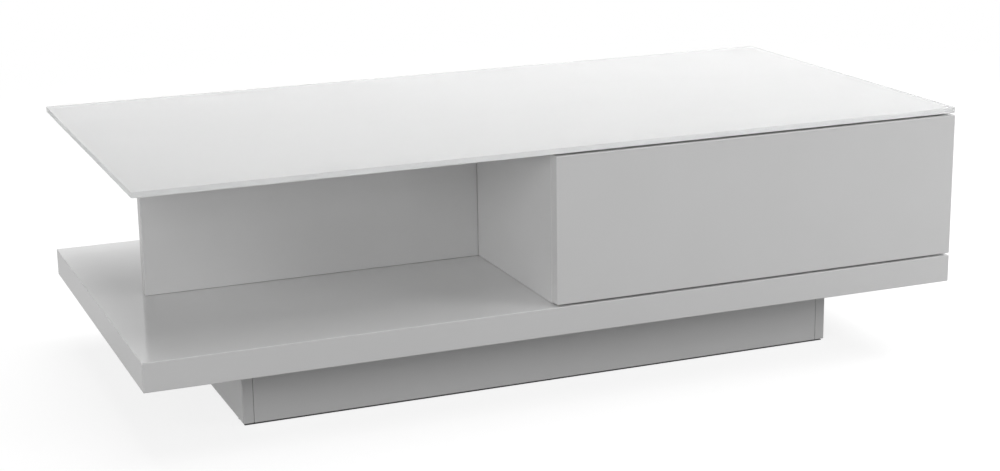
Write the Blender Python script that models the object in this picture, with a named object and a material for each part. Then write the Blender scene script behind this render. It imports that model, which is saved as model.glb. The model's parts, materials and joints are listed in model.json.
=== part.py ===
"""Coffee table: glass top, middle panel, open shelf, plinth and one push-to-open drawer.

Metres, +Z up. The origin is on the floor under the middle of the table, +X runs to the drawer end
and the drawer front faces -Y. Run it with Blender 4.5 or from its text editor.
"""

import math

import bmesh
import bpy
from mathutils import Matrix, Vector

# Table
TABLE_LENGTH = 1.200
TABLE_DEPTH = 0.600
PLINTH_HEIGHT = 0.099
SHELF_THICKNESS = 0.040
UPRIGHT_HEIGHT = 0.210
PAD_THICKNESS = 0.003
GLASS_THICKNESS = 0.008

# Boards, and what every joint shares
CARCASS_BOARD = 0.018
PLINTH_BOARD = 0.015
DRAWER_BOARD = 0.012
EDGE_RADIUS = 0.001
EDGE_SEGMENTS = 2
TOUCH_GAP = 0.0003
CUT_OVERRUN = 0.002
ROUND_SIDES = 24

# Glass and its bonding pads
GLASS_ARRIS = 0.0012
GLASS_CORNER_RADIUS = 0.003
PAD_DIAMETER = 0.030
PAD_INSET = 0.060
SPINE_PAD_MARGIN = 0.002
SPINE_PAD_INSET = 0.050
SPINE_PADS = 3

# Middle panel and drawer cabinet
SPINE_INSET = 0.069
CABINET_WIDTH = 0.630

# Plinth
PLINTH_END_INSET = 0.151
PLINTH_SIDE_INSET = 0.096
BLOCK_SIDE = 0.028
BLOCK_FLOOR_CLEARANCE = 0.012
BRACE_FLOOR_CLEARANCE = 0.020
GLIDE_HEIGHT = 0.002
GLIDE_MARGIN = 0.001
GLIDE_INSET = 0.030

# Drawer
DRAWER_FRONT_THICKNESS = 0.018
FRONT_REVEAL = 0.003
PUSH_GAP = 0.0015
DRAWER_FLOOR_CLEARANCE = 0.014
DRAWER_RIM_CLEARANCE = 0.013
DRAWER_REAR_CLEARANCE = 0.058
DRAWER_BOTTOM_THICKNESS = 0.005
GROOVE_DEPTH = 0.006
GROOVE_HEIGHT = 0.010

# Screws that hold the drawer front to its box
SCREW_DIAMETER = 0.004
SCREW_HEAD_DIAMETER = 0.008
SCREW_HEAD_HEIGHT = 0.0024
SCREW_HEAD_ROUND = 0.0008
SCREW_SKIN = 0.007
SCREW_END_INSET = 0.090
SCREW_EDGE_INSET = 0.040

# Ball-bearing runners
RUNNER_SPACE = 0.013
RAIL_HEIGHT = 0.045
RAIL_STEEL = 0.0012
RAIL_FRONT_SETBACK = 0.0045
RAIL_RISE = 0.060
BALL_SPACE = 0.0039
CAGE_STEEL = 0.0006
CAGE_LENGTH = 0.180
CAGE_LIP = 0.0012
BALLS_PER_ROW = 5
BALL_SIDES = 8
BALL_RINGS = 4

# Push latches
LATCH_INSET = 0.110
LATCH_SETBACK = 0.003
LATCH_LENGTH = 0.060
LATCH_WALL = 0.0032
LATCH_SIDE_WALL = 0.0047
LATCH_END_WALL = 0.004
EAR_THICKNESS = 0.003
EAR_REACH = 0.009
EAR_LENGTH = 0.016
PLUNGER_DIAMETER = 0.008
PLUNGER_NOSE = 0.001
PLUNGER_ENGAGEMENT = 0.020
STRIKE_DIAMETER = 0.012
STRIKE_THICKNESS = 0.001
SPRING_WIRE = 0.0008
SPRING_TURNS = 7
SPRING_POINTS_PER_TURN = 8

# Levels
shelf_top = PLINTH_HEIGHT + SHELF_THICKNESS
carcass_top = shelf_top + UPRIGHT_HEIGHT
glass_bottom = carcass_top + PAD_THICKNESS
table_top = glass_bottom + GLASS_THICKNESS
head_underside = carcass_top - CARCASS_BOARD

# Planes along the table
right_end = TABLE_LENGTH / 2
left_end = -right_end
cabinet_left = right_end - CABINET_WIDTH
bay_left = cabinet_left + CARCASS_BOARD
bay_right = right_end - CARCASS_BOARD
bay_middle = (bay_left + bay_right) / 2
spine_left = left_end + SPINE_INSET
plinth_right = right_end - PLINTH_END_INSET

# Planes across the table
back = TABLE_DEPTH / 2
front = -back
front_rear_face = front + DRAWER_FRONT_THICKNESS
carcass_front = front_rear_face + PUSH_GAP
bay_back = back - CARCASS_BOARD
plinth_back = back - PLINTH_SIDE_INSET

# Latch line
bore_radius = PLUNGER_DIAMETER / 2 + TOUCH_GAP
latch_front = carcass_front + LATCH_SETBACK
latch_level = head_underside - TOUCH_GAP - LATCH_WALL - bore_radius
latch_underside = latch_level - bore_radius - LATCH_WALL
plunger_tip = front_rear_face + TOUCH_GAP + STRIKE_THICKNESS + TOUCH_GAP
plunger_back = latch_front + PLUNGER_ENGAGEMENT
bore_end = latch_front + LATCH_LENGTH - LATCH_END_WALL

# Drawer box
box_front = front_rear_face + TOUCH_GAP
box_back = bay_back - DRAWER_REAR_CLEARANCE
box_left = bay_left + RUNNER_SPACE
box_right = bay_right - RUNNER_SPACE
box_floor = shelf_top + DRAWER_FLOOR_CLEARANCE
box_rim = latch_underside - DRAWER_RIM_CLEARANCE

# Runner section, as distances from the cabinet side towards the drawer, and up from its middle
outer_web = (TOUCH_GAP, TOUCH_GAP + RAIL_STEEL)
outer_cage_web = (outer_web[1] + TOUCH_GAP, outer_web[1] + TOUCH_GAP + CAGE_STEEL)
middle_web = (outer_cage_web[1] + TOUCH_GAP, outer_cage_web[1] + TOUCH_GAP + RAIL_STEEL)
inner_cage_web = (middle_web[1] + TOUCH_GAP, middle_web[1] + TOUCH_GAP + CAGE_STEEL)
inner_web = (RUNNER_SPACE - TOUCH_GAP, RUNNER_SPACE - TOUCH_GAP - RAIL_STEEL)
flange_end = inner_web[1] - 2 * TOUCH_GAP
inner_flange_end = inner_cage_web[1] + TOUCH_GAP
outer_half = RAIL_HEIGHT / 2
middle_half = outer_half - RAIL_STEEL - BALL_SPACE
inner_half = middle_half - RAIL_STEEL - BALL_SPACE
ball_radius = BALL_SPACE / 2 - TOUCH_GAP
runner_front = carcass_front + RAIL_FRONT_SETBACK
runner_length = box_back - runner_front
runner_level = box_floor + RAIL_RISE

along_y = Matrix.Rotation(math.radians(90), 4, "X")


def clear_scene():
    for old in list(bpy.data.objects):
        bpy.data.objects.remove(old, do_unlink=True)


def make_material(name, colour, roughness, metallic=0.0):
    material = bpy.data.materials.new(name)
    material.use_nodes = True
    shader = material.node_tree.nodes["Principled BSDF"]
    shader.inputs["Base Color"].default_value = (*colour, 1.0)
    shader.inputs["Roughness"].default_value = roughness
    shader.inputs["Metallic"].default_value = metallic
    material.diffuse_color = (*colour, 1.0)
    return material


def make_empty(name, x, y, z):
    empty = bpy.data.objects.new(name, None)
    empty.location = (x, y, z)
    bpy.context.scene.collection.objects.link(empty)
    return empty


def place(bm, name, material, centre, parent=None, smooth=False):
    """The bmesh, whose points are measured from centre, as a named object under parent."""
    bmesh.ops.recalc_face_normals(bm, faces=bm.faces)
    mesh = bpy.data.meshes.new(name)
    bm.to_mesh(mesh)
    bm.free()
    if smooth:
        mesh.shade_smooth()
        mesh.set_sharp_from_angle(angle=math.radians(40))
    mesh.materials.append(material)
    obj = bpy.data.objects.new(name, mesh)
    add(obj, centre, parent)
    return obj


def add(obj, centre, parent):
    obj.location = centre
    if parent:
        obj.parent = parent
        obj.location = Vector(centre) - parent.location
    bpy.context.scene.collection.objects.link(obj)


def middle_of(x, y, z):
    return Vector([(low + high) / 2 for low, high in (x, y, z)])


def box_mesh(x, y, z, radius=0.0):
    """A box between the spans x, y and z, about its own middle."""
    bm = bmesh.new()
    bmesh.ops.create_cube(bm, size=1)
    bmesh.ops.scale(bm, vec=[abs(high - low) for low, high in (x, y, z)], verts=bm.verts)
    if radius:
        bmesh.ops.bevel(
            bm, geom=bm.edges[:], offset=radius, segments=EDGE_SEGMENTS,
            profile=0.5, affect="EDGES", material=-1,
        )
    return bm


def board(name, x, y, z, material, parent=None, radius=EDGE_RADIUS):
    return place(box_mesh(x, y, z, radius), name, material, middle_of(x, y, z), parent)


def add_disc(bm, radius, depth, matrix, sides=ROUND_SIDES):
    """A cylinder about Z with closed ends, moved by matrix."""
    bmesh.ops.create_cone(
        bm, cap_ends=True, segments=sides, radius1=radius, radius2=radius, depth=depth, matrix=matrix,
    )


def round_piece(name, radius, depth, material, centre, parent=None, turn=None, edge=0.0):
    """A disc or pin about Z, or about the axis that turn brings Z to, with its rims rounded by edge."""
    bm = bmesh.new()
    add_disc(bm, radius, depth, turn or Matrix())
    if edge:
        rims = [e for e in bm.edges if any(len(f.verts) == ROUND_SIDES for f in e.link_faces)]
        bmesh.ops.bevel(
            bm, geom=rims, offset=edge, segments=EDGE_SEGMENTS,
            profile=0.5, affect="EDGES", material=-1,
        )
    return place(bm, name, material, centre, parent, smooth=True)


def bar(name, outline, length, material, centre, parent):
    """An outline in X and Z, drawn out along Y by length and centred on it."""
    bm = bmesh.new()
    face = bm.faces.new([bm.verts.new((x, -length / 2, z)) for x, z in outline])
    grown = bmesh.ops.extrude_face_region(bm, geom=[face])["geom"]
    moved = [item for item in grown if isinstance(item, bmesh.types.BMVert)]
    bmesh.ops.translate(bm, vec=(0, length, 0), verts=moved)
    return place(bm, name, material, centre, parent)


def helper(bm, name, centre, parent=None):
    """A cutter or an added shape for a Boolean, which stays out of the model."""
    obj = place(bm, name, bpy.data.materials["guide"], centre, parent)
    obj.hide_render = True
    obj.display_type = "WIRE"
    return obj


def boolean(obj, operation, other):
    modifier = obj.modifiers.new(f"{operation.lower()} {other.name}", "BOOLEAN")
    modifier.operation = operation
    modifier.solver = "EXACT"
    modifier.object = other


def make_glass_top(materials):
    """The plate, with small rounded corners in plan and a ground arris along its edges."""
    x = (left_end, right_end)
    y = (front, back)
    z = (glass_bottom, table_top)
    bm = box_mesh(x, y, z)
    uprights = [e for e in bm.edges if abs(e.verts[0].co.z - e.verts[1].co.z) > GLASS_THICKNESS / 2]
    bmesh.ops.bevel(
        bm, geom=uprights, offset=GLASS_CORNER_RADIUS, segments=3 * EDGE_SEGMENTS,
        profile=0.5, affect="EDGES", material=-1,
    )
    rims = [e for e in bm.edges if any(abs(f.normal.z) > 0.5 for f in e.link_faces)]
    bmesh.ops.bevel(
        bm, geom=rims, offset=GLASS_ARRIS, segments=EDGE_SEGMENTS,
        profile=0.5, affect="EDGES", material=-1,
    )
    place(bm, "glass_top", materials["glass"], middle_of(x, y, z))


def make_pads(materials):
    """Clear discs between the carcass and the glass: four on the cabinet, a row on the middle panel."""
    level = (carcass_top + glass_bottom) / 2
    depth = PAD_THICKNESS - 2 * TOUCH_GAP
    places = [
        (x, y)
        for x in (cabinet_left + PAD_INSET, right_end - PAD_INSET)
        for y in (carcass_front + PAD_INSET, back - PAD_INSET)
    ]
    for number, (x, y) in enumerate(places, 1):
        name = f"cabinet_pad_{number}"
        round_piece(name, PAD_DIAMETER / 2, depth, materials["pad"], (x, y, level))
    run = cabinet_left - spine_left - 2 * SPINE_PAD_INSET
    for number in range(SPINE_PADS):
        x = spine_left + SPINE_PAD_INSET + run * number / (SPINE_PADS - 1)
        radius = CARCASS_BOARD / 2 - SPINE_PAD_MARGIN
        round_piece(f"spine_pad_{number + 1}", radius, depth, materials["pad"], (x, 0, level))


def make_shelf_and_uprights(materials):
    lacquer = materials["lacquer"]
    upright = (shelf_top + TOUCH_GAP, carcass_top)
    between = (bay_left + TOUCH_GAP, bay_right - TOUCH_GAP)
    board("base_shelf", (left_end, right_end), (front, back), (PLINTH_HEIGHT, shelf_top), lacquer)
    spine_half = CARCASS_BOARD / 2
    board(
        "middle_panel", (spine_left, cabinet_left - TOUCH_GAP), (-spine_half, spine_half),
        upright, lacquer,
    )
    board("cabinet_side_left", (cabinet_left, bay_left), (carcass_front, back), upright, lacquer)
    board("cabinet_side_right", (bay_right, right_end), (carcass_front, back), upright, lacquer)
    board("cabinet_back", between, (bay_back, back), upright, lacquer)
    board(
        "cabinet_top", between, (carcass_front, bay_back - TOUCH_GAP),
        (head_underside, carcass_top), lacquer,
    )


def make_plinth(materials):
    """Four boards on glides, with a block glued into each corner and a brace across the middle."""
    lacquer = materials["lacquer"]
    timber = materials["timber"]
    upright = (GLIDE_HEIGHT, PLINTH_HEIGHT - TOUCH_GAP)
    inner_x = plinth_right - PLINTH_BOARD - TOUCH_GAP
    inner_y = plinth_back - PLINTH_BOARD - TOUCH_GAP
    depth = (-plinth_back, plinth_back)
    board("plinth_side_left", (-plinth_right, PLINTH_BOARD - plinth_right), depth, upright, lacquer)
    board("plinth_side_right", (plinth_right - PLINTH_BOARD, plinth_right), depth, upright, lacquer)
    width = (-inner_x, inner_x)
    board("plinth_front", width, (-plinth_back, PLINTH_BOARD - plinth_back), upright, lacquer)
    board("plinth_back", width, (plinth_back - PLINTH_BOARD, plinth_back), upright, lacquer)
    board(
        "plinth_brace", (-PLINTH_BOARD / 2, PLINTH_BOARD / 2), (-inner_y, inner_y),
        (GLIDE_HEIGHT + BRACE_FLOOR_CLEARANCE, upright[1]), timber, radius=0.0,
    )
    block_height = (GLIDE_HEIGHT + BLOCK_FLOOR_CLEARANCE, upright[1])
    for number, (x, y) in enumerate(corners(inner_x, inner_y), 1):
        board(
            f"plinth_block_{number}",
            sorted((x, x - math.copysign(BLOCK_SIDE, x))),
            sorted((y, y - math.copysign(BLOCK_SIDE, y))),
            block_height, timber, radius=0.0,
        )
    glide_depth = GLIDE_HEIGHT - TOUCH_GAP
    board_middle = PLINTH_BOARD / 2
    glides = corners(plinth_right - board_middle, plinth_back - GLIDE_INSET)
    glides += [(0, board_middle - plinth_back), (0, plinth_back - board_middle)]
    for number, (x, y) in enumerate(glides, 1):
        round_piece(
            f"glide_{number}", board_middle - GLIDE_MARGIN, glide_depth, materials["glide"],
            (x, y, glide_depth / 2),
        )


def corners(x, y):
    return [(-x, -y), (x, -y), (-x, y), (x, y)]


def make_drawer(materials, parent):
    lacquer = materials["lacquer"]
    melamine = materials["melamine"]
    face = board(
        "drawer_front", (cabinet_left, right_end), (front, front_rear_face),
        (shelf_top + FRONT_REVEAL, glass_bottom - FRONT_REVEAL), lacquer, parent,
    )
    depth = (box_front, box_back)
    height = (box_floor, box_rim)
    inner_left = box_left + DRAWER_BOARD
    inner_right = box_right - DRAWER_BOARD
    width = (inner_left + TOUCH_GAP, inner_right - TOUCH_GAP)
    left = board("drawer_side_left", (box_left, inner_left), depth, height, melamine, parent)
    right = board("drawer_side_right", (inner_right, box_right), depth, height, melamine, parent)
    nose = board("drawer_box_front", width, (box_front, box_front + DRAWER_BOARD), height, melamine, parent)
    tail = board("drawer_box_back", width, (box_back - DRAWER_BOARD, box_back), height, melamine, parent)
    groove_x = (inner_left - GROOVE_DEPTH, inner_right + GROOVE_DEPTH)
    groove_y = (box_front + DRAWER_BOARD - GROOVE_DEPTH, box_back - DRAWER_BOARD + GROOVE_DEPTH)
    groove_z = (box_floor + GROOVE_HEIGHT, box_floor + GROOVE_HEIGHT + DRAWER_BOTTOM_THICKNESS)
    board(
        "drawer_bottom", inset(groove_x), inset(groove_y), inset(groove_z), materials["hardboard"],
        parent, radius=0.0,
    )
    groove_spans = (groove_x, groove_y, groove_z)
    groove = helper(box_mesh(*groove_spans), "bottom_groove", middle_of(*groove_spans), parent)
    for panel in (left, right, nose, tail):
        boolean(panel, "DIFFERENCE", groove)
    make_front_screws(materials, parent, (face, nose))


def inset(span):
    return (span[0] + TOUCH_GAP, span[1] - TOUCH_GAP)


def make_front_screws(materials, parent, panels):
    """Four pan-head screws, from inside the box through its front board into the drawer front."""
    seat = box_front + DRAWER_BOARD + TOUCH_GAP
    tip = front + SCREW_SKIN
    hole_radius = SCREW_DIAMETER / 2 + TOUCH_GAP
    hole = (tip - TOUCH_GAP, seat + CUT_OVERRUN)
    holes = bmesh.new()
    places = [
        (x, z)
        for x in (box_left + SCREW_END_INSET, box_right - SCREW_END_INSET)
        for z in (box_floor + SCREW_EDGE_INSET, box_rim - SCREW_EDGE_INSET)
    ]
    for number, (x, z) in enumerate(places, 1):
        offset = Matrix.Translation((x, sum(hole) / 2, z))
        add_disc(holes, hole_radius, hole[1] - hole[0], offset @ along_y, ROUND_SIDES // 2)
        make_screw(f"front_screw_{number}", materials["zinc"], (x, seat, z), seat - tip, parent)
    cutter = helper(holes, "front_screw_holes", (0, 0, 0), parent)
    for panel in panels:
        boolean(panel, "DIFFERENCE", cutter)


def make_screw(name, material, seat, shank_length, parent):
    """A turned shape: shank towards -Y from the seat, and a domed head on the other side."""
    shank = SCREW_DIAMETER / 2
    head = SCREW_HEAD_DIAMETER / 2
    bm = bmesh.new()
    profile = [
        (0, -shank_length),
        (shank / 2, -shank_length),
        (shank, shank - shank_length),
        (shank, 0),
        (head, 0),
        (head, SCREW_HEAD_HEIGHT - SCREW_HEAD_ROUND),
        (head - SCREW_HEAD_ROUND, SCREW_HEAD_HEIGHT),
        (0, SCREW_HEAD_HEIGHT),
    ]
    points = [bm.verts.new((radius, y, 0)) for radius, y in profile]
    lines = [bm.edges.new(pair) for pair in zip(points, points[1:])]
    bmesh.ops.spin(
        bm, geom=points + lines, cent=(0, 0, 0), axis=(0, 1, 0), angle=math.tau,
        steps=ROUND_SIDES // 2, use_merge=True,
    )
    bmesh.ops.remove_doubles(bm, verts=bm.verts, dist=TOUCH_GAP / 10)
    place(bm, name, material, seat, parent, smooth=True)


def rail_outline(web, tips, half):
    """A channel: its web at one side, and a flange above and below that runs to tips."""
    inner = half - RAIL_STEEL
    return [
        (web[0], -half), (tips, -half), (tips, -inner), (web[1], -inner),
        (web[1], inner), (tips, inner), (tips, half), (web[0], half),
    ]


def make_runner(side, hand, materials, parents):
    """The outer, middle and inner rail of one runner, and the two ball cages between them."""
    zinc = materials["zinc"]
    wall = bay_left if hand > 0 else bay_right
    centre = (wall, runner_front + runner_length / 2, runner_level)
    rails = (
        ("outer", outer_web, flange_end, outer_half, None),
        ("middle", middle_web, flange_end, middle_half, parents["middle_rails"]),
        ("inner", inner_web, inner_flange_end, inner_half, parents["drawer"]),
    )
    for rail, web, tips, half, parent in rails:
        outline = [(hand * x, z) for x, z in rail_outline(web, tips, half)]
        bar(f"{rail}_rail_{side}", outline, runner_length, zinc, centre, parent)
    ball_line = (middle_web[1] + flange_end) / 2
    cages = (
        ("outer", outer_cage_web, outer_half - RAIL_STEEL - BALL_SPACE / 2),
        ("inner", inner_cage_web, middle_half - RAIL_STEEL - BALL_SPACE / 2),
    )
    for cage, web, row in cages:
        parent = parents[f"{cage}_ball_cages"]
        make_cage(f"{cage}_ball_cage_{side}", hand, web, row, ball_line, centre, zinc, parent)


def make_cage(name, hand, web, row, ball_line, centre, material, parent):
    """A bent strip that carries a row of balls above and one below."""
    lip = CAGE_STEEL / 2
    reach = ball_line + ball_radius + CAGE_LIP
    outline = [
        (web[0], -row - lip), (reach, -row - lip), (reach, lip - row), (web[1], lip - row),
        (web[1], row - lip), (reach, row - lip), (reach, row + lip), (web[0], row + lip),
    ]
    strip = bar(name, [(hand * x, z) for x, z in outline], CAGE_LENGTH, material, centre, parent)
    pitch = CAGE_LENGTH / BALLS_PER_ROW
    balls = bmesh.new()
    for level in (-row, row):
        for number in range(BALLS_PER_ROW):
            y = pitch * (number + 0.5) - CAGE_LENGTH / 2
            bmesh.ops.create_uvsphere(
                balls, u_segments=BALL_SIDES, v_segments=BALL_RINGS, radius=ball_radius,
                matrix=Matrix.Translation((hand * ball_line, y, level)),
            )
    boolean(strip, "UNION", helper(balls, f"{name}_balls", centre, parent))


def make_latch(side, x, materials, plunger_parent, drawer_parent):
    """A sprung push latch under the cabinet top, and the strike plate that it meets."""
    plastic = materials["latch"]
    half_width = bore_radius + LATCH_SIDE_WALL
    span_x = (x - half_width, x + half_width)
    span_y = (latch_front, latch_front + LATCH_LENGTH)
    span_z = (latch_underside, head_underside - TOUCH_GAP)
    housing = board(f"latch_housing_{side}", span_x, span_y, span_z, plastic)
    middle_y = sum(span_y) / 2
    ear_spans = (
        (span_x[0] - EAR_REACH, span_x[1] + EAR_REACH),
        (middle_y - EAR_LENGTH / 2, middle_y + EAR_LENGTH / 2),
        (span_z[1] - EAR_THICKNESS, span_z[1]),
    )
    ears = helper(box_mesh(*ear_spans), f"latch_ears_{side}", middle_of(*ear_spans))
    boolean(housing, "UNION", ears)
    bore = (latch_front - CUT_OVERRUN, bore_end)
    hole = bmesh.new()
    add_disc(hole, bore_radius, bore[1] - bore[0], along_y)
    cutter = helper(hole, f"latch_bore_{side}", (x, sum(bore) / 2, latch_level))
    boolean(housing, "DIFFERENCE", cutter)
    round_piece(
        f"latch_plunger_{side}", PLUNGER_DIAMETER / 2, plunger_back - plunger_tip, plastic,
        (x, (plunger_tip + plunger_back) / 2, latch_level), plunger_parent, along_y, PLUNGER_NOSE,
    )
    make_spring(f"latch_spring_{side}", x, materials["zinc"])
    round_piece(
        f"strike_plate_{side}", STRIKE_DIAMETER / 2, STRIKE_THICKNESS, materials["zinc"],
        (x, front_rear_face + TOUCH_GAP + STRIKE_THICKNESS / 2, latch_level), drawer_parent, along_y,
    )


def make_spring(name, x, material):
    """The compression spring between the plunger and the end of its bore."""
    wire = SPRING_WIRE / 2
    coil_radius = PLUNGER_DIAMETER / 2 - wire - TOUCH_GAP
    start = plunger_back + TOUCH_GAP + wire
    run = bore_end - TOUCH_GAP - wire - start
    steps = SPRING_TURNS * SPRING_POINTS_PER_TURN
    curve = bpy.data.curves.new(name, "CURVE")
    curve.dimensions = "3D"
    curve.bevel_depth = wire
    curve.bevel_resolution = 1
    curve.use_fill_caps = True
    spline = curve.splines.new("POLY")
    spline.points.add(steps)
    for step, point in enumerate(spline.points):
        angle = math.tau * step / SPRING_POINTS_PER_TURN
        point.co = (
            coil_radius * math.cos(angle), run * step / steps, coil_radius * math.sin(angle), 1,
        )
    curve.materials.append(material)
    add(bpy.data.objects.new(name, curve), (x, start, latch_level), None)
    print(f"{name}: {run / SPRING_TURNS - SPRING_WIRE:.4f} m between its turns")


def main():
    clear_scene()
    materials = {
        "lacquer": make_material("white_gloss_lacquer", (0.80, 0.80, 0.80), 0.12),
        "glass": make_material("white_glass", (0.86, 0.87, 0.87), 0.05),
        "melamine": make_material("white_melamine", (0.70, 0.70, 0.69), 0.45),
        "hardboard": make_material("white_hardboard", (0.66, 0.66, 0.65), 0.50),
        "timber": make_material("pine", (0.56, 0.40, 0.24), 0.65),
        "zinc": make_material("zinc_plated_steel", (0.62, 0.63, 0.64), 0.30, 1.0),
        "latch": make_material("grey_acetal", (0.30, 0.31, 0.32), 0.40),
        "pad": make_material("clear_elastomer", (0.74, 0.75, 0.75), 0.30),
        "glide": make_material("black_polyethylene", (0.03, 0.03, 0.03), 0.55),
    }
    make_material("guide", (0.8, 0.3, 0.1), 0.50)
    runner_middle = runner_front + runner_length / 2
    parents = {
        name: make_empty(f"{name}_axis", bay_middle, runner_middle, runner_level)
        for name in ("drawer", "middle_rails", "outer_ball_cages", "inner_ball_cages")
    }
    make_glass_top(materials)
    make_pads(materials)
    make_shelf_and_uprights(materials)
    make_plinth(materials)
    make_drawer(materials, parents["drawer"])
    make_runner("left", 1, materials, parents)
    make_runner("right", -1, materials, parents)
    for side, x in (("left", bay_left + LATCH_INSET), ("right", bay_right - LATCH_INSET)):
        plunger_parent = make_empty(f"plunger_axis_{side}", x, plunger_tip, latch_level)
        make_latch(side, x, materials, plunger_parent, parents["drawer"])


main()
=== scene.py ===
import json
import math

import bmesh
import bpy
from mathutils import Matrix, Vector


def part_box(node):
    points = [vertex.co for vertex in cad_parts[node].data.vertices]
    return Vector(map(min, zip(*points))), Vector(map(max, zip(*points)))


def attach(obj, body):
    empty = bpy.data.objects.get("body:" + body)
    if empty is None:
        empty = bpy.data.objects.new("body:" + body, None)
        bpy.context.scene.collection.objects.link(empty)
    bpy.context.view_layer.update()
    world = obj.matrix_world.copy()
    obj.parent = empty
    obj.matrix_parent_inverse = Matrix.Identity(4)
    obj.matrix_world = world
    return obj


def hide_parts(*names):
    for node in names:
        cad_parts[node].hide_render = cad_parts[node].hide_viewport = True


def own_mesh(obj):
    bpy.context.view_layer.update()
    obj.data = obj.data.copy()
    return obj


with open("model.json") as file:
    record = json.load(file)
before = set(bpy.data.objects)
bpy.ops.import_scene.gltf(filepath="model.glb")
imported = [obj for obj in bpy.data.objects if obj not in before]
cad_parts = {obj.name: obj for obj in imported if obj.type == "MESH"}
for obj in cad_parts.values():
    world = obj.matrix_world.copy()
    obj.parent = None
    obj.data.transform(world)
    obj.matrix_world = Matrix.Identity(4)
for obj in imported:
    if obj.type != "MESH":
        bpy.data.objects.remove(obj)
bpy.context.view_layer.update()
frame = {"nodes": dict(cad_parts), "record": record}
nodes = frame["nodes"]


# Helpers for shader trees

middling = (0.35, 0.65)  # most of a noise's values lie between these


def newNode(tree, kind, settings=None, sockets=None):
    node = tree.nodes.new(kind)
    for name, value in (settings or {}).items():
        setattr(node, name, value)
    for name, value in (sockets or {}).items():
        feed(tree, value, node.inputs[name])
    return node


def feed(tree, value, socket):
    # a node's output is linked, anything else is set as the socket's own value
    if isinstance(value, bpy.types.NodeSocket):
        tree.links.new(value, socket)
    else:
        socket.default_value = value


def doMath(tree, operation, first, second=0.0, clamp=False):
    settings = {"operation": operation, "use_clamp": clamp}
    return newNode(tree, "ShaderNodeMath", settings, {0: first, 1: second}).outputs[0]


def remap(tree, value, span, target=(0.0, 1.0)):
    # clamped, so what lies past the span's ends gives the target's ends
    node = newNode(tree, "ShaderNodeMapRange", {"clamp": True}, {
        "Value": value, "From Min": span[0], "From Max": span[1], "To Min": target[0], "To Max": target[1],
    })
    return node.outputs["Result"]


def noise(tree, place, width, detail=2.0, roughness=0.5):
    # width is a blotch's, in metres, and may be an input of a group
    if isinstance(width, bpy.types.NodeSocket):
        scale = doMath(tree, "DIVIDE", 1.0, width)
    else:
        scale = 1 / width
    node = newNode(tree, "ShaderNodeTexNoise", {"noise_dimensions": "3D"}, {
        "Vector": place, "Scale": scale, "Detail": detail, "Roughness": roughness,
    })
    return node.outputs["Fac"]


def stretch(tree, place, scale):
    node = newNode(tree, "ShaderNodeMapping", {"vector_type": "POINT"}, {"Vector": place, "Scale": scale})
    return node.outputs["Vector"]


def axesOf(tree, vector):
    return newNode(tree, "ShaderNodeSeparateXYZ", {}, {"Vector": vector}).outputs


def facingUp(tree):
    # 1 where the surface faces straight up, 0 where it is upright, -1 where it faces down
    return axesOf(tree, newNode(tree, "ShaderNodeNewGeometry").outputs["Normal"])["Z"]


def mixColours(tree, factor, low, high):
    # sockets 6 and 7 are the node's two colours, and 2 is the mixed one
    mix = newNode(tree, "ShaderNodeMix", {"data_type": "RGBA"}, {"Factor": factor, 6: low, 7: high})
    return mix.outputs[2]


def startGroup(name, numbers, results):
    # every group takes the surface's place, in metres, and some numbers
    tree = bpy.data.node_groups.new(name, "ShaderNodeTree")
    tree.interface.new_socket(name="Place", in_out="INPUT", socket_type="NodeSocketVector")
    for label, value in numbers.items():
        socket = tree.interface.new_socket(name=label, in_out="INPUT", socket_type="NodeSocketFloat")
        socket.default_value = value
    for label in results:
        tree.interface.new_socket(name=label, in_out="OUTPUT", socket_type="NodeSocketFloat")
    return tree, tree.nodes.new("NodeGroupInput").outputs, tree.nodes.new("NodeGroupOutput").inputs


def useGroup(tree, group, place, **numbers):
    node = newNode(tree, "ShaderNodeGroup", {"node_tree": group}, {"Place": place, **numbers})
    return node.outputs


# Effects that several finishes share

def makeFilmWaves():
    # the long, shallow ripple of a sprayed or rolled film
    tree, given, result = startGroup("filmWaves", {"Width": 0.006, "Depth": 0.000004}, ["Height"])
    waves = noise(tree, given["Place"], given["Width"], detail=1.5, roughness=0.45)
    feed(tree, doMath(tree, "MULTIPLY", waves, given["Depth"]), result["Height"])
    return tree


def makeFineGrain():
    # the tight texture of foil, moulded plastic or pressed fibre
    tree, given, result = startGroup("fineGrain", {"Width": 0.0008, "Depth": 0.00002}, ["Height", "Shade"])
    grain = noise(tree, given["Place"], given["Width"], detail=4.0, roughness=0.65)
    feed(tree, doMath(tree, "MULTIPLY", grain, given["Depth"]), result["Height"])
    feed(tree, remap(tree, grain, (0.3, 0.7)), result["Shade"])
    return tree


def makeHandling():
    # where hands and cloths have dulled the surface, as patches crossed by faint wipe marks
    touch = {
        "patch": 0.11, "patchSpan": (0.48, 0.72),
        "wipe": 1.0, "wipeStretch": (3.0, 34.0, 34.0), "wipeSpan": (0.40, 0.75), "wipeLeast": 0.35,
    }
    tree, given, result = startGroup("handling", {"Amount": 0.03}, ["Haze"])
    patches = noise(tree, given["Place"], touch["patch"], detail=3.0, roughness=0.55)
    patches = remap(tree, patches, touch["patchSpan"])
    marks = noise(tree, stretch(tree, given["Place"], touch["wipeStretch"]), touch["wipe"])
    marks = remap(tree, marks, touch["wipeSpan"], (touch["wipeLeast"], 1.0))
    rubbed = doMath(tree, "MULTIPLY", patches, marks)
    feed(tree, doMath(tree, "MULTIPLY", rubbed, given["Amount"]), result["Haze"])
    return tree


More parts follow.
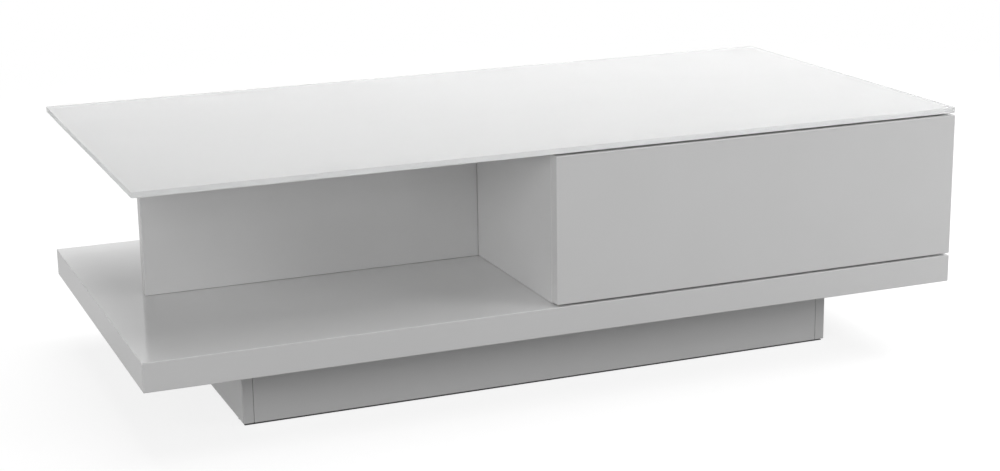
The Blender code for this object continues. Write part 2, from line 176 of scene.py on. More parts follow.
def makeDust():
    # a light settling on what faces up
    fall = {
        "upSpan": (0.6, 0.95),
        "cloud": 0.07, "cloudSpan": (0.42, 0.70), "cloudLeast": 0.2, "cloudShare": 0.7,
        "mote": 0.0016, "moteSpan": (0.66, 0.74),
    }
    tree, given, result = startGroup("settledDust", {"Amount": 0.05}, ["Dust"])
    upward = remap(tree, facingUp(tree), fall["upSpan"])
    cloud = noise(tree, given["Place"], fall["cloud"], detail=5.0, roughness=0.62)
    cloud = remap(tree, cloud, fall["cloudSpan"], (fall["cloudLeast"], 1.0))
    motes = remap(tree, noise(tree, given["Place"], fall["mote"], detail=1.0), fall["moteSpan"])
    both = doMath(tree, "ADD", doMath(tree, "MULTIPLY", cloud, fall["cloudShare"]), motes, clamp=True)
    settled = doMath(tree, "MULTIPLY", both, upward)
    feed(tree, doMath(tree, "MULTIPLY", settled, given["Amount"]), result["Dust"])
    return tree


def makeRollMarks():
    # lines that rolling and drawing leave along a steel strip, over the cloudy bloom of its plating
    strip = {
        "line": 0.0006, "lineStretch": (1.0, 0.012, 1.0), "lineShare": 0.4,
        "bloom": 0.009, "bloomShare": 0.6,
    }
    tree, given, result = startGroup("rollMarks", {"Depth": 0.000003}, ["Height", "Bloom"])
    drawn = stretch(tree, given["Place"], strip["lineStretch"])
    lines = noise(tree, drawn, strip["line"], detail=3.0, roughness=0.6)
    feed(tree, doMath(tree, "MULTIPLY", lines, given["Depth"]), result["Height"])
    bloom = noise(tree, given["Place"], strip["bloom"], detail=3.0, roughness=0.6)
    mixed = doMath(
        tree, "ADD",
        doMath(tree, "MULTIPLY", bloom, strip["bloomShare"]),
        doMath(tree, "MULTIPLY", lines, strip["lineShare"]),
    )
    feed(tree, remap(tree, mixed, middling), result["Bloom"])
    return tree


effects = {
    "waves": makeFilmWaves(),
    "grain": makeFineGrain(),
    "handling": makeHandling(),
    "dust": makeDust(),
    "rollMarks": makeRollMarks(),
}
print("shared effects made:", len(effects))


# Finishes

def startFinish(name, fixed):
    # fixed holds the shader's even values, such as IOR, by socket name
    material = bpy.data.materials.new(name)
    material.use_nodes = True
    tree = material.node_tree
    shader = tree.nodes["Principled BSDF"]
    for label, value in fixed.items():
        shader.inputs[label].default_value = value
    place = tree.nodes.new("ShaderNodeTexCoord").outputs["Object"]
    return material, tree, shader, place


def setColour(tree, shader, low, high, factor):
    tree.links.new(mixColours(tree, factor, (*low, 1.0), (*high, 1.0)), shader.inputs["Base Color"])


def addBandSeam(tree, shader, place, seam):
    # the glue line of an edge band, which lies in from the board's face by the band's thickness
    across = doMath(tree, "ABSOLUTE", axesOf(tree, place)[seam["axis"]])
    offset = doMath(tree, "SUBTRACT", across, seam["face"] - seam["band"])
    core = seam["half"] * seam["core"]
    near = remap(tree, doMath(tree, "ABSOLUTE", offset), (core, seam["half"]), (seam["depth"], 0.0))
    plain = shader.inputs["Base Color"].links[0].from_socket
    seamed = mixColours(tree, near, plain, (*seam["glue"], 1.0))
    tree.links.new(seamed, shader.inputs["Base Color"])


def setBump(tree, shader, height):
    # heights are real, in metres
    bump = newNode(tree, "ShaderNodeBump", {}, {"Strength": 1.0, "Distance": 1.0, "Height": height})
    tree.links.new(bump.outputs["Normal"], shader.inputs["Normal"])


def makeLacquer(name, seam=None):
    look = {
        "colour": (0.875, 0.875, 0.875), "thin": (0.864, 0.864, 0.863), "cloud": 0.09,
        "roughness": 0.055, "handling": 0.035, "dust": 0.03, "dustDulls": 0.8,
        "waveWidth": 0.007, "waveDepth": 0.0000035,
    }
    material, tree, shader, place = startFinish(name, {"IOR": 1.50})
    cloud = remap(tree, noise(tree, place, look["cloud"], detail=3.0), middling)
    dust = useGroup(tree, effects["dust"], place, Amount=look["dust"])["Dust"]
    setColour(tree, shader, look["colour"], look["thin"], doMath(tree, "ADD", cloud, dust, clamp=True))
    if seam:
        addBandSeam(tree, shader, place, seam)
    haze = useGroup(tree, effects["handling"], place, Amount=look["handling"])["Haze"]
    dull = doMath(tree, "ADD", haze, doMath(tree, "MULTIPLY", dust, look["dustDulls"]))
    feed(tree, doMath(tree, "ADD", dull, look["roughness"]), shader.inputs["Roughness"])
    waves = useGroup(tree, effects["waves"], place, Width=look["waveWidth"], Depth=look["waveDepth"])
    setBump(tree, shader, waves["Height"])
    return material


# foil, fibre board and moulded plastics differ only in these values
plainLooks = {
    "melamine": {
        "low": (0.74, 0.74, 0.735), "high": (0.70, 0.70, 0.695), "roughness": 0.36,
        "grainWidth": 0.0011, "grainDepth": 0.000012, "fixed": {"IOR": 1.50},
    },
    "hardboard": {
        "low": (0.69, 0.69, 0.68), "high": (0.64, 0.64, 0.63), "roughness": 0.46,
        "grainWidth": 0.0009, "grainDepth": 0.00002, "fixed": {"IOR": 1.45},
    },
    "acetal": {
        "low": (0.33, 0.34, 0.35), "high": (0.28, 0.29, 0.30), "roughness": 0.34,
        "grainWidth": 0.0007, "grainDepth": 0.00001, "fixed": {"IOR": 1.48},
    },
    "elastomer": {
        "low": (0.80, 0.81, 0.81), "high": (0.76, 0.77, 0.77), "roughness": 0.18,
        "grainWidth": 0.002, "grainDepth": 0.000008, "fixed": {"IOR": 1.45, "Transmission Weight": 0.6},
    },
    "polyethylene": {
        "low": (0.035, 0.035, 0.036), "high": (0.022, 0.022, 0.023), "roughness": 0.42,
        "grainWidth": 0.0008, "grainDepth": 0.00002, "fixed": {"IOR": 1.50},
    },
}


def makePlainFinish(name, kind, seam=None):
    shared = {"patch": 0.06, "patchShare": 0.5, "grainShare": 0.5, "handling": 0.10}
    look = plainLooks[kind]
    material, tree, shader, place = startFinish(name, look["fixed"])
    grain = useGroup(tree, effects["grain"], place, Width=look["grainWidth"], Depth=look["grainDepth"])
    patches = noise(tree, place, shared["patch"], detail=3.0)
    patches = remap(tree, patches, middling, (0.0, shared["patchShare"]))
    shade = doMath(tree, "ADD", patches, doMath(tree, "MULTIPLY", grain["Shade"], shared["grainShare"]))
    setColour(tree, shader, look["low"], look["high"], shade)
    if seam:
        addBandSeam(tree, shader, place, seam)
    haze = useGroup(tree, effects["handling"], place, Amount=shared["handling"])["Haze"]
    feed(tree, doMath(tree, "ADD", haze, look["roughness"]), shader.inputs["Roughness"])
    setBump(tree, shader, grain["Height"])
    return material


def makeZinc():
    look = {
        "bright": (0.66, 0.67, 0.68), "dull": (0.54, 0.55, 0.57), "roughness": (0.24, 0.38),
        "lineDepth": 0.000004,
    }
    material, tree, shader, place = startFinish("zincPlatedSteel", {"Metallic": 1.0})
    marks = useGroup(tree, effects["rollMarks"], place, Depth=look["lineDepth"])
    setColour(tree, shader, look["bright"], look["dull"], marks["Bloom"])
    feed(tree, remap(tree, marks["Bloom"], (0.0, 1.0), look["roughness"]), shader.inputs["Roughness"])
    setBump(tree, shader, marks["Height"])
    return material


def makePine():
    # the rings lie round Y, along which the trunk grew
    look = {
        "early": (0.66, 0.50, 0.31), "late": (0.44, 0.27, 0.13), "roughness": (0.50, 0.68),
        "ringStretch": (1.0, 0.12, 0.35), "ringScale": 40.0, "ringBend": 3.0, "ringShare": 0.6,
        "drift": 0.05, "driftShare": 0.3,
        "fibre": 0.0009, "fibreStretch": (1.0, 0.05, 0.3), "fibreSpan": (0.3, 0.7), "fibreDepth": 0.00006,
    }
    material, tree, shader, place = startFinish("pine", {"IOR": 1.45})
    along = stretch(tree, place, look["ringStretch"])
    drift = noise(tree, along, look["drift"])
    rings = newNode(tree, "ShaderNodeTexWave", {"wave_type": "RINGS", "rings_direction": "Y"}, {
        "Vector": along, "Scale": look["ringScale"], "Distortion": look["ringBend"], "Detail": 2.0,
    }).outputs["Fac"]
    fibres = noise(tree, stretch(tree, place, look["fibreStretch"]), look["fibre"], roughness=0.6)
    shade = doMath(
        tree, "ADD",
        doMath(tree, "MULTIPLY", rings, look["ringShare"]),
        doMath(tree, "MULTIPLY", drift, look["driftShare"]),
    )
    shade = doMath(tree, "MULTIPLY", shade, fibres, clamp=True)
    setColour(tree, shader, look["early"], look["late"], shade)
    feed(tree, remap(tree, fibres, look["fibreSpan"], look["roughness"]), shader.inputs["Roughness"])
    setBump(tree, shader, doMath(tree, "MULTIPLY", fibres, look["fibreDepth"]))
    return material


def makeEnamel():
    look = {
        "colour": (0.955, 0.956, 0.956), "thin": (0.945, 0.947, 0.947), "cloud": 0.12,
        "roughness": (0.55, 0.65), "grainWidth": 0.0006,
    }
    material, tree, shader, place = startFinish("backEnamel", {"Specular IOR Level": 0.1})
    cloud = remap(tree, noise(tree, place, look["cloud"], detail=3.0), middling)
    setColour(tree, shader, look["colour"], look["thin"], cloud)
    shade = useGroup(tree, effects["grain"], place, Width=look["grainWidth"])["Shade"]
    feed(tree, remap(tree, shade, (0.0, 1.0), look["roughness"]), shader.inputs["Roughness"])
    return material


def makePane():
    # the faces are polished, and the edge all round is ground to a satin
    look = {
        "clear": (0.994, 0.995, 0.995), "dulled": (0.80, 0.81, 0.805),
        "edgeSpan": (0.80, 0.97), "ground": 0.42,
        "dust": 0.06, "handling": 0.02, "waveWidth": 0.05, "waveDepth": 0.000004,
    }
    material, tree, shader, place = startFinish("clearPane", {"IOR": 1.52, "Transmission Weight": 1.0})
    edge = remap(tree, doMath(tree, "ABSOLUTE", facingUp(tree)), look["edgeSpan"], (1.0, 0.0))
    dust = useGroup(tree, effects["dust"], place, Amount=look["dust"])["Dust"]
    setColour(tree, shader, look["clear"], look["dulled"], doMath(tree, "ADD", dust, edge, clamp=True))
    haze = useGroup(tree, effects["handling"], place, Amount=look["handling"])["Haze"]
    rough = doMath(tree, "ADD", haze, doMath(tree, "MULTIPLY", edge, look["ground"]))
    feed(tree, rough, shader.inputs["Roughness"])
    waves = useGroup(tree, effects["waves"], place, Width=look["waveWidth"], Depth=look["waveDepth"])
    setBump(tree, shader, waves["Height"])
    return material


# half is half the glue line's width, and core the share of it that has the full depth of colour
plinthSeam = {
    "axis": "Y", "face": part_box("plinth_side_left")[1].y, "band": 0.0011,
    "half": 0.0005, "core": 0.6, "depth": 0.75, "glue": (0.30, 0.30, 0.30),
}
drawerSeam = {
    "axis": "Z", "face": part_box("drawer_side_left")[1].z, "band": 0.0010,
    "half": 0.00022, "core": 0.6, "depth": 0.6, "glue": (0.38, 0.37, 0.35),
}
finishes = {
    "white_gloss_lacquer": makeLacquer("whiteGlossLacquer"),
    "white_glass": makePane(),
    "white_melamine": makePlainFinish("whiteMelamine", "melamine"),
    "white_hardboard": makePlainFinish("whiteHardboard", "hardboard"),
    "pine": makePine(),
    "zinc_plated_steel": makeZinc(),
    "grey_acetal": makePlainFinish("greyAcetal", "acetal"),
    "clear_elastomer": makePlainFinish("clearElastomer", "elastomer"),
    "black_polyethylene": makePlainFinish("blackPolyethylene", "polyethylene"),
}
bandedLacquer = makeLacquer("bandedGlossLacquer", plinthSeam)
bandedMelamine = makePlainFinish("bandedMelamine", "melamine", drawerSeam)
banded = {
    "plinth_side_left": bandedLacquer, "plinth_side_right": bandedLacquer,
    "drawer_side_left": bandedMelamine, "drawer_side_right": bandedMelamine,
    "drawer_box_front": bandedMelamine, "drawer_box_back": bandedMelamine,
}
enamel = makeEnamel()
for part in frame["record"]["subparts"]:
    finish = banded.get(part["node"], finishes[part["material_slot"]])
    nodes[part["node"]].material_slots[0].material = finish
print("finishes made for", len(finishes), "slots, and an edge band for", len(banded), "boards")


# Helpers for new pieces

aligned = 0.99  # a direction lies along an axis where its share of that axis is over this
mergeDistance = 0.00001
towardBack = Matrix.Rotation(math.radians(-90), 4, "X")
towardLeft = Matrix.Rotation(math.radians(-90), 4, "Y")
towardRight = Matrix.Rotation(math.radians(90), 4, "Y")
towardFloor = Matrix.Rotation(math.radians(180), 4, "X")


def addObject(bm, name, material=None):
    bmesh.ops.recalc_face_normals(bm, faces=bm.faces)
    mesh = bpy.data.meshes.new(name)
    bm.to_mesh(mesh)
    bm.free()
    if material:
        mesh.materials.append(material)
    made = bpy.data.objects.new(name, mesh)
    bpy.context.scene.collection.objects.link(made)
    return made


def finishPiece(bm, name, body, slot, material=None, smoothAngle=None, cutter=None, place=None):
    # place is the turn and shift of a piece that was made, and cut, about the origin
    piece = addObject(bm, name, material or finishes[slot])
    if cutter:
        cutAway(piece, cutter)
    if place:
        piece.data.transform(place)
    if smoothAngle:
        piece.data.shade_smooth()
        piece.data.set_sharp_from_angle(angle=math.radians(smoothAngle))
    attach(piece, body)
    return piece


def cutAway(piece, cutter):
    tool = addObject(cutter, "cutter")
    cut = piece.modifiers.new("cut", "BOOLEAN")
    cut.operation = "DIFFERENCE"
    cut.solver = "EXACT"
    cut.object = tool
    seen = piece.evaluated_get(bpy.context.evaluated_depsgraph_get())
    shape = bpy.data.meshes.new_from_object(seen)
    piece.modifiers.clear()
    piece.data = shape
    bpy.data.objects.remove(tool)


def boxMesh(low, high):
    bm = bmesh.new()
    size = high - low
    middle = Matrix.Translation(low + size / 2)
    bmesh.ops.create_cube(bm, size=1, matrix=middle @ Matrix.Diagonal((*size, 1)))
    return bm


def drawOut(bm, face, shift):
    # extrudes the face by the shift
    grown = bmesh.ops.extrude_face_region(bm, geom=[face])["geom"]
    moved = [item for item in grown if isinstance(item, bmesh.types.BMVert)]
    bmesh.ops.translate(bm, vec=shift, verts=moved)


def turnRound(profile, axis, steps):
    # a solid of revolution from points that start and end on the axis
    bm = bmesh.new()
    points = [bm.verts.new(point) for point in profile]
    lines = [bm.edges.new(pair) for pair in zip(points, points[1:])]
    bmesh.ops.spin(
        bm, geom=points + lines, cent=(0, 0, 0), axis=axis, angle=math.tau, steps=steps, use_merge=True,
    )
    bmesh.ops.remove_doubles(bm, verts=bm.verts, dist=mergeDistance)
    return bm


def roundEdges(bm, edges, offset, segments):
    bmesh.ops.bevel(
        bm, geom=edges, offset=offset, segments=segments, profile=0.5, affect="EDGES", material=-1,
    )


def edgesAlong(bm, axis):
    # axis is 0, 1 or 2, for X, Y or Z
    return [e for e in bm.edges if abs((e.verts[0].co - e.verts[1].co).normalized()[axis]) > aligned]


def rimEdges(bm):
    return [e for e in bm.edges if any(abs(f.normal.z) > aligned for f in e.link_faces)]


# Glass plate

def makePlate():
    # a clear tempered pane, with the white enamel fired on its underside, into which it bites a little
    plate = {
        "corner": 0.003, "cornerSteps": 8, "arris": 0.0006, "arrisSteps": 3,
        "enamel": 0.0004, "enamelInset": 0.0004, "bite": 0.0002,
    }
    low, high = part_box("glass_top")
    bm = boxMesh(low + Vector((0, 0, plate["enamel"] - plate["bite"])), high)
    roundEdges(bm, edgesAlong(bm, 2), plate["corner"], plate["cornerSteps"])
    bm.normal_update()
    roundEdges(bm, rimEdges(bm), plate["arris"], plate["arrisSteps"])
    pane = finishPiece(bm, "plate_pane", "root", "white_glass", smoothAngle=25)
    inset = plate["enamelInset"] + plate["arris"]
    margin = Vector((inset, inset, 0))
    bm = boxMesh(low + margin, Vector((high.x, high.y, low.z + plate["enamel"])) - margin)
    roundEdges(bm, edgesAlong(bm, 2), plate["corner"] - plate["enamelInset"], plate["cornerSteps"])
    finishPiece(bm, "plate_enamel", "root", "white_glass", material=enamel, smoothAngle=25)
    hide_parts("glass_top")


# Screws

# head and shank are radii, rise is the head's height, crown its rounded part, and cone the depth of a
# countersunk head below the seat
screwKinds = {
    "pan": {
        "head": 0.0040, "rise": 0.0024, "crown": 0.0016, "shank": 0.0020, "cone": 0,
        "cross": 0.0023, "slot": 0.0006,
    },
    "small": {
        "head": 0.0032, "rise": 0.0019, "crown": 0.0013, "shank": 0.0016, "cone": 0,
        "cross": 0.0018, "slot": 0.0005,
    },
    "flush": {
        "head": 0.0034, "rise": 0.0001, "crown": 0.0001, "shank": 0.0016, "cone": 0.0018,
        "cross": 0.0018, "slot": 0.0005,
    },
}
screwForm = {
    "crownSteps": 5, "turnSteps": 24,
    "tip": 0.3, "taper": 2,  # by the shank's radius
    "recessFoot": 0.35, "recessTop": 2,  # by the head's height
    "recessTurn": 35,  # degrees
}


def crossCutter(size):
    # the four arms of the recess, a quarter turn apart
    bm = bmesh.new()
    reach = size["cross"]
    width = size["slot"]
    foot = size["rise"] * screwForm["recessFoot"] - width
    corners = []
    for quarter in range(4):
        turned = Matrix.Rotation(math.pi / 2 * quarter, 3, "Z")
        for x, y in ((width, -width), (reach, -width), (reach, width)):
            corners.append(bm.verts.new(turned @ Vector((x, y, foot))))
    drawOut(bm, bm.faces.new(corners), (0, 0, size["rise"] * screwForm["recessTop"]))
    skew = Matrix.Rotation(math.radians(screwForm["recessTurn"]), 3, "Z")
    bmesh.ops.rotate(bm, cent=(0, 0, 0), matrix=skew, verts=bm.verts)
    return bm


def makeScrew(name, body, kind, seat, turn, length):
    # made head up about Z, with the seat at the origin; turn brings Z to the screw's own axis
    size = screwKinds[kind]
    shank = size["shank"]
    steps = screwForm["crownSteps"]
    profile = [(0, -length), (shank * screwForm["tip"], -length)]
    profile += [(shank, -length + shank * screwForm["taper"]), (shank, -size["cone"])]
    profile += [(size["head"], 0), (size["head"], size["rise"] - size["crown"])]
    for step in range(1, steps + 1):
        angle = math.pi / 2 * step / steps
        rim = size["head"] * math.cos(angle)
        profile.append((max(rim, 0), size["rise"] + size["crown"] * (math.sin(angle) - 1)))
    bm = turnRound([(radius, 0, level) for radius, level in profile], (0, 0, 1), screwForm["turnSteps"])
    return finishPiece(
        bm, name, body, "zinc_plated_steel", smoothAngle=35, cutter=crossCutter(size),
        place=Matrix.Translation(seat) @ turn,
    )


def makeFrontScrews():
    for number in range(1, 5):
        low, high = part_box(f"front_screw_{number}")
        rise = screwKinds["pan"]["rise"]
        seat = Vector(((low.x + high.x) / 2, high.y - rise, (low.z + high.z) / 2))
        screw = makeScrew(f"front_fixing_{number}", "drawer", "pan", seat, towardBack, seat.y - low.y)
        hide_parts(f"front_screw_{number}")


# Runners

runner = {
    "steel": 0.0012, "lip": 0.0011, "webCorner": 0.0016, "webSteps": 4, "lipCorner": 0.00045, "lipSteps": 2,
    "slotRadius": 0.0024, "slotLength": 0.006, "slotSegments": 20,
    "slotShares": (0.07, 0.18, 0.43, 0.68, 0.93), "screwShares": (0.07, 0.43, 0.93), "screwLength": 0.011,
    "cageSteel": 0.0006, "cageWebCorner": 0.00096, "cageLipCorner": 0.00012,
    "balls": 5, "ballRadius": 0.00165, "ballInset": 0.00285, "ballSegments": 18, "ballRings": 12,
}


def sectionOutline(depth, half, steel, lip):
    # a channel's outline from its web's foot round to its head; a lip over zero turns in, under zero out
    inner = depth - steel
    under = half - steel
    if lip > 0:
        hook = [(depth, half), (depth, under - lip), (inner, under - lip), (inner, under)]
    else:
        hook = [(inner, half), (inner, half - lip), (depth, half - lip), (depth, under)]
    upper = [(0, half)] + hook + [(steel, under)]
    return upper + [(u, -v) for u, v in reversed(upper)]


def drawnSection(outline, hand, wall, level, span, steel, corners):
    # the outline stands off the wall, towards +X where hand is 1 and -X where it is -1, and is drawn along
    # Y over the span; corners are the bend radii at the web and at the lips
    squareCorner = 1.0  # radians; the bends that are already rounded turn by less at each edge
    bm = bmesh.new()
    points = [bm.verts.new((wall + hand * u, span[0], level + v)) for u, v in outline]
    drawOut(bm, bm.faces.new(points), (0, span[1] - span[0], 0))
    atWeb = [e for e in edgesAlong(bm, 1) if abs(e.verts[0].co.x - wall) < steel / 2]
    roundEdges(bm, atWeb, corners[0], runner["webSteps"])
    others = [e for e in edgesAlong(bm, 1) if e.calc_face_angle(0) > squareCorner]
    roundEdges(bm, others, corners[1], runner["lipSteps"])
    return bm


def addSlotCutter(bm, x, y, z, reach):
    # a slot along Y, cut right through in X: a disc, pulled long and drawn out
    turn = Matrix.Translation((x - reach, y, z)) @ towardRight
    disc = bmesh.ops.create_circle(
        bm, cap_ends=True, segments=runner["slotSegments"], radius=runner["slotRadius"], matrix=turn,
    )["verts"]
    for vert in disc:
        end = -1 if vert.co.y < y - mergeDistance else 1
        vert.co.y += end * runner["slotLength"] / 2
    drawOut(bm, disc[0].link_faces[0], (2 * reach, 0, 0))


def makeRail(kind, side, body):
    node = f"{kind}_rail_{side}"
    low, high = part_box(node)
    hand = 1 if side == "left" else -1
    if kind == "inner":
        hand = -hand  # its web lies against the drawer
    wall = low.x if hand > 0 else high.x
    level = (low.z + high.z) / 2
    steel = runner["steel"]
    lip = runner["lip"] if kind == "outer" else -runner["lip"]
    outline = sectionOutline(high.x - low.x, (high.z - low.z) / 2, steel, lip)
    corners = (runner["webCorner"], runner["lipCorner"])
    bm = drawnSection(outline, hand, wall, level, (low.y, high.y), steel, corners)
    slots = bmesh.new()
    for share in runner["slotShares"]:
        addSlotCutter(slots, wall, low.y + (high.y - low.y) * share, level, steel * 2)
    rail = finishPiece(bm, f"{kind}_track_{side}", body, "zinc_plated_steel", smoothAngle=35, cutter=slots)
    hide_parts(node)
    if kind == "middle":
        return
    facing = towardRight if hand > 0 else towardLeft
    screw = "small" if kind == "inner" else "flush"
    for number, share in enumerate(runner["screwShares"], 1):
        seat = Vector((wall + hand * steel, low.y + (high.y - low.y) * share, level))
        makeScrew(f"{kind}_track_screw_{side}_{number}", body, screw, seat, facing, runner["screwLength"])


def makeCage(kind, side, body):
    node = f"{kind}_ball_cage_{side}"
    low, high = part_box(node)
    hand = 1 if side == "left" else -1
    wall = low.x if hand > 0 else high.x
    level = (low.z + high.z) / 2
    steel = runner["cageSteel"]
    radius = runner["ballRadius"]
    row = (high.z - low.z) / 2 - radius
    depth = high.x - low.x
    half = row + steel / 2
    upper = [(0, half), (depth, half), (depth, half - steel), (steel, half - steel)]
    outline = upper + [(u, -v) for u, v in reversed(upper)]
    corners = (runner["cageWebCorner"], runner["cageLipCorner"])
    bm = drawnSection(outline, hand, wall, level, (low.y, high.y), steel, corners)
    pitch = (high.y - low.y) / runner["balls"]
    ballLine = wall + hand * (depth - runner["ballInset"])
    segments = runner["ballSegments"]
    rings = runner["ballRings"]
    for height in (level - row, level + row):
        for number in range(runner["balls"]):
            centre = Matrix.Translation((ballLine, low.y + pitch * (number + 0.5), height))
            bmesh.ops.create_uvsphere(
                bm, u_segments=segments, v_segments=rings, radius=radius, matrix=centre,
            )
    cage = finishPiece(bm, f"{kind}_ball_strip_{side}", body, "zinc_plated_steel", smoothAngle=35)
    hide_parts(node)


def makeRunners():
    for side in ("left", "right"):
        makeRail("outer", side, "root")
        makeRail("middle", side, "middle_rails")
        makeRail("inner", side, "drawer")
        makeCage("outer", side, "outer_ball_cages")
        makeCage("inner", side, "inner_ball_cages")


# Push latches

def makePlungers():
    # a turned pin with a rounded nose and two grip rings behind it
    pin = {
        "nose": 0.0012, "noseSteps": 4, "tail": 0.0004, "turnSteps": 32,
        "rings": 2, "ringStart": 0.0045, "ringPitch": 0.0016, "ringDepth": 0.00035,
    }
    for side in ("left", "right"):
        low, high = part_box(f"latch_plunger_{side}")
        radius = (high.x - low.x) / 2
        length = high.y - low.y
        dip = radius - pin["ringDepth"]
        profile = [(0.0, 0.0)]
        for step in range(pin["noseSteps"] + 1):
            angle = math.pi / 2 * step / pin["noseSteps"]
            across = radius - pin["nose"] * (1 - math.sin(angle))
            profile.append((across, pin["nose"] * (1 - math.cos(angle))))
        for ring in range(pin["rings"]):
            start = pin["ringStart"] + ring * pin["ringPitch"]
            end = start + pin["ringPitch"] / 2
            profile += [(radius, start), (dip, start + pin["ringDepth"])]
            profile += [(dip, end), (radius, end + pin["ringDepth"])]
        profile += [(radius, length - pin["tail"]), (radius - pin["tail"], length), (0.0, length)]
        bm = turnRound([(across, along, 0) for across, along in profile], (0, 1, 0), pin["turnSteps"])
        bmesh.ops.translate(bm, vec=((low.x + high.x) / 2, low.y, (low.z + high.z) / 2), verts=bm.verts)
        pinPiece = finishPiece(
            bm, f"latch_pin_{side}", f"latch_plunger_{side}", "grey_acetal", smoothAngle=35,
        )
        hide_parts(f"latch_plunger_{side}")


def makeSprings():
    # a wound compression spring with a closed turn at either end
    coil = {"wire": 0.0004, "turns": 7, "closedPitch": 0.0009, "steps": 24, "sides": 10}
    for side in ("left", "right"):
        low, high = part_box(f"latch_spring_{side}")
        middle = (low + high) / 2
        radius = (high.x - low.x) / 2 - coil["wire"]
        run = high.y - low.y - 2 * coil["wire"]
        closedTurn = (1, coil["closedPitch"])
        openTurns = (coil["turns"] - 2, (run - 2 * coil["closedPitch"]) / (coil["turns"] - 2))
        bm = bmesh.new()
        start = Matrix.Translation((middle.x + radius, low.y + coil["wire"], middle.z))
        bmesh.ops.create_circle(bm, segments=coil["sides"], radius=coil["wire"], matrix=start)
        ring = bm.verts[:] + bm.edges[:]
        for turns, pitch in (closedTurn, openTurns, closedTurn):
            ring = bmesh.ops.spin(
                bm, geom=ring, cent=middle, axis=(0, 1, 0), dvec=(0, pitch / coil["steps"], 0),
                angle=math.tau * turns, steps=turns * coil["steps"],
            )["geom_last"]
        bmesh.ops.holes_fill(bm, edges=[e for e in bm.edges if e.is_boundary], sides=0)
        wound = finishPiece(bm, f"latch_coil_{side}", "root", "zinc_plated_steel", smoothAngle=50)
        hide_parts(f"latch_spring_{side}")
        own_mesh(wound)


def makeLatchScrews():
    # each latch hangs from the cabinet top on a screw through either ear
    ear = {"thickness": 0.003, "inset": 0.0045, "screw": 0.012}
    for side in ("left", "right"):
        low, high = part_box(f"latch_housing_{side}")
        for number, x in enumerate((low.x + ear["inset"], high.x - ear["inset"]), 1):
            seat = Vector((x, (low.y + high.y) / 2, high.z - ear["thickness"]))
            makeScrew(f"latch_screw_{side}_{number}", "root", "small", seat, towardFloor, ear["screw"])


makePlate()
print("plate made")
makeRunners()
print("runners made")
makeFrontScrews()
makePlungers()
makeSprings()
makeLatchScrews()
print("screws, latch pins and springs made")


# Camera, lamps, floor and background

def makeCamera():
    view = {
        "place": (-1.06501, -2.65906, 0.92854),
        "turn": (75.0588, 0.8204, -22.2020),
        "lens": 71.353,
        "sensor": 36.0,
    }
    data = bpy.data.cameras.new("camera")
    data.lens = view["lens"]
    data.sensor_width = view["sensor"]
    camera = bpy.data.objects.new("camera", data)
    camera.location = view["place"]
    camera.rotation_euler = [math.radians(angle) for angle in view["turn"]]
    bpy.context.scene.collection.objects.link(camera)
    bpy.context.scene.camera = camera


def makeLamps():
    lamps = {
        "frontLeft": {"place": (-2.0, -2.3, 1.5), "aim": (0, 0, 0.2), "size": (1.2, 1.2), "watts": 13.5},
        "leftLow": {"place": (-3.2, -1.6, 0.6), "aim": (0, 0, 0.2), "size": (1.2, 0.9), "watts": 13.0},
        "nearRight": {"place": (1.5, -1.5, 0.9), "aim": (0.4, -0.3, 0.2), "size": (0.8, 0.8), "watts": 8.8},
        "rightHigh": {"place": (2.5, 0.2, 2.4), "aim": (0.3, 0, 0.2), "size": (1.2, 1.2), "watts": 65.0},
        "overBack": {"place": (0, 1.5, 2.7), "aim": (0, 0, 0.3), "size": (2.2, 1.8), "watts": 39.0},
        "overFront": {"place": (0, -0.8, 2.5), "aim": (0, -0.1, 0.3), "size": (1.6, 1.4), "watts": 12.0},
    }
    mirrored = ("overFront",)  # any other lamp would stand in the glass and the lacquer as a hard patch
    for name, lamp in lamps.items():
        data = bpy.data.lights.new(name, "AREA")
        data.shape = "RECTANGLE"
        data.size, data.size_y = lamp["size"]
        data.energy = lamp["watts"]
        light = bpy.data.objects.new(name, data)
        light.location = lamp["place"]
        away = Vector(lamp["place"]) - Vector(lamp["aim"])
        light.rotation_euler = away.to_track_quat("Z", "Y").to_euler()
        light.visible_camera = False
        light.visible_glossy = name in mirrored
        bpy.context.scene.collection.objects.link(light)


def seenStraight(tree):
    # 1 for rays that come from the camera by way of mirrors and glass alone, 0 once they have lit a surface
    path = tree.nodes.new("ShaderNodeLightPath").outputs
    shown = doMath(tree, "ADD", path["Is Camera Ray"], path["Is Glossy Ray"])
    shown = doMath(tree, "ADD", shown, path["Is Transmission Ray"], clamp=True)
    unlit = doMath(tree, "LESS_THAN", path["Diffuse Depth"], 0.5)
    return doMath(tree, "MULTIPLY", shown, unlit)


def makeWorld():
    air = {"fill": 0.21, "white": 1.0}
    world = bpy.data.worlds.new("studio")
    bpy.context.scene.world = world
    world.use_nodes = True
    tree = world.node_tree
    background = tree.nodes["Background"]
    background.inputs["Color"].default_value = (1.0, 1.0, 1.0, 1.0)
    strength = remap(tree, seenStraight(tree), (0.0, 1.0), (air["fill"], air["white"]))
    tree.links.new(strength, background.inputs["Strength"])


def makeGlow(tree, strength):
    return newNode(tree, "ShaderNodeEmission", {}, {"Color": (1, 1, 1, 1), "Strength": strength}).outputs[0]


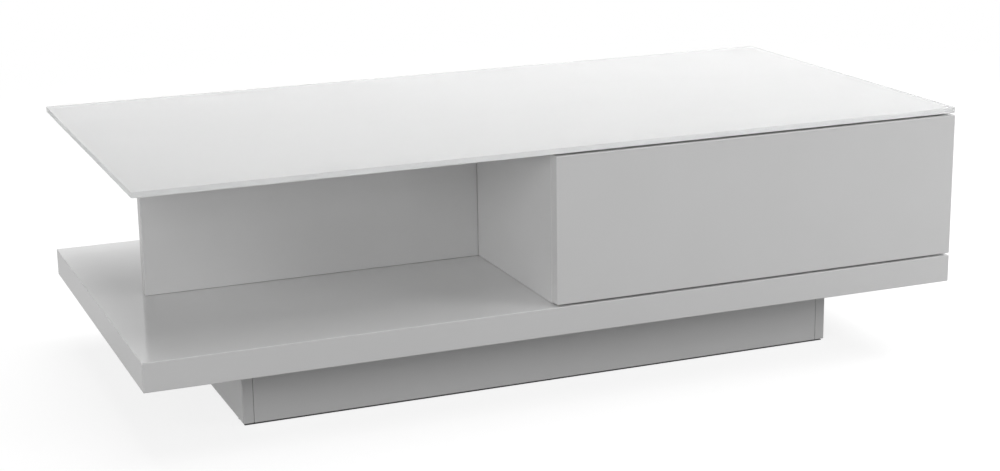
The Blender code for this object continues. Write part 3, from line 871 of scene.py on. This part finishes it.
def makeFloor():
    # pale paper that keeps the shadow near the table and fades into the white background further off
    floor = {
        "radius": 9.0, "segments": 96, "level": -0.0002, "colour": 0.25, "lift": 0.83,
        "fadeSpan": (1.3, 2.8), "plinthHalf": (0.447, 0.202), "inMirrors": 0.65,
    }
    bm = bmesh.new()
    bmesh.ops.create_circle(bm, cap_ends=True, segments=floor["segments"], radius=floor["radius"])
    bmesh.ops.translate(bm, vec=(0, 0, floor["level"]), verts=bm.verts)
    mesh = bpy.data.meshes.new("floor")
    bm.to_mesh(mesh)
    bm.free()
    material = bpy.data.materials.new("floorPaper")
    material.use_nodes = True
    tree = material.node_tree
    tree.nodes.clear()
    place = tree.nodes.new("ShaderNodeTexCoord").outputs["Object"]
    away = newNode(tree, "ShaderNodeVectorMath", {"operation": "LENGTH"}, {0: place}).outputs["Value"]
    fade = remap(tree, away, floor["fadeSpan"])
    straight = seenStraight(tree)
    # under the plinth the paper isn't lifted, so the gap that the glides leave stays dark
    across = axesOf(tree, place)
    pastEnds = doMath(tree, "GREATER_THAN", doMath(tree, "ABSOLUTE", across["X"]), floor["plinthHalf"][0])
    pastSides = doMath(tree, "GREATER_THAN", doMath(tree, "ABSOLUTE", across["Y"]), floor["plinthHalf"][1])
    outside = doMath(tree, "MAXIMUM", pastEnds, pastSides)
    # lacquer seen at a slant would mirror so much full white paper that the low end faces wash out
    glossy = tree.nodes.new("ShaderNodeLightPath").outputs["Is Glossy Ray"]
    level = remap(tree, glossy, (0.0, 1.0), (1.0, floor["inMirrors"]))
    raised = doMath(tree, "MULTIPLY", doMath(tree, "MULTIPLY", straight, floor["lift"]), outside)
    lift = makeGlow(tree, doMath(tree, "MULTIPLY", raised, level))
    paper = newNode(tree, "ShaderNodeBsdfDiffuse", {}, {"Color": (*[floor["colour"]] * 3, 1.0)}).outputs[0]
    near = newNode(tree, "ShaderNodeAddShader", {}, {0: paper, 1: lift}).outputs[0]
    white = makeGlow(tree, level)
    shown = newNode(tree, "ShaderNodeMixShader", {}, {
        0: doMath(tree, "MULTIPLY", fade, straight), 1: near, 2: white,
    }).outputs[0]
    output = tree.nodes.new("ShaderNodeOutputMaterial")
    tree.links.new(shown, output.inputs["Surface"])
    mesh.materials.append(material)
    ground = bpy.data.objects.new("floor", mesh)
    bpy.context.scene.collection.objects.link(ground)


makeCamera()
makeLamps()
makeWorld()
makeFloor()
bpy.context.scene.view_settings.view_transform = "Standard"
print("camera, lamps and floor made")
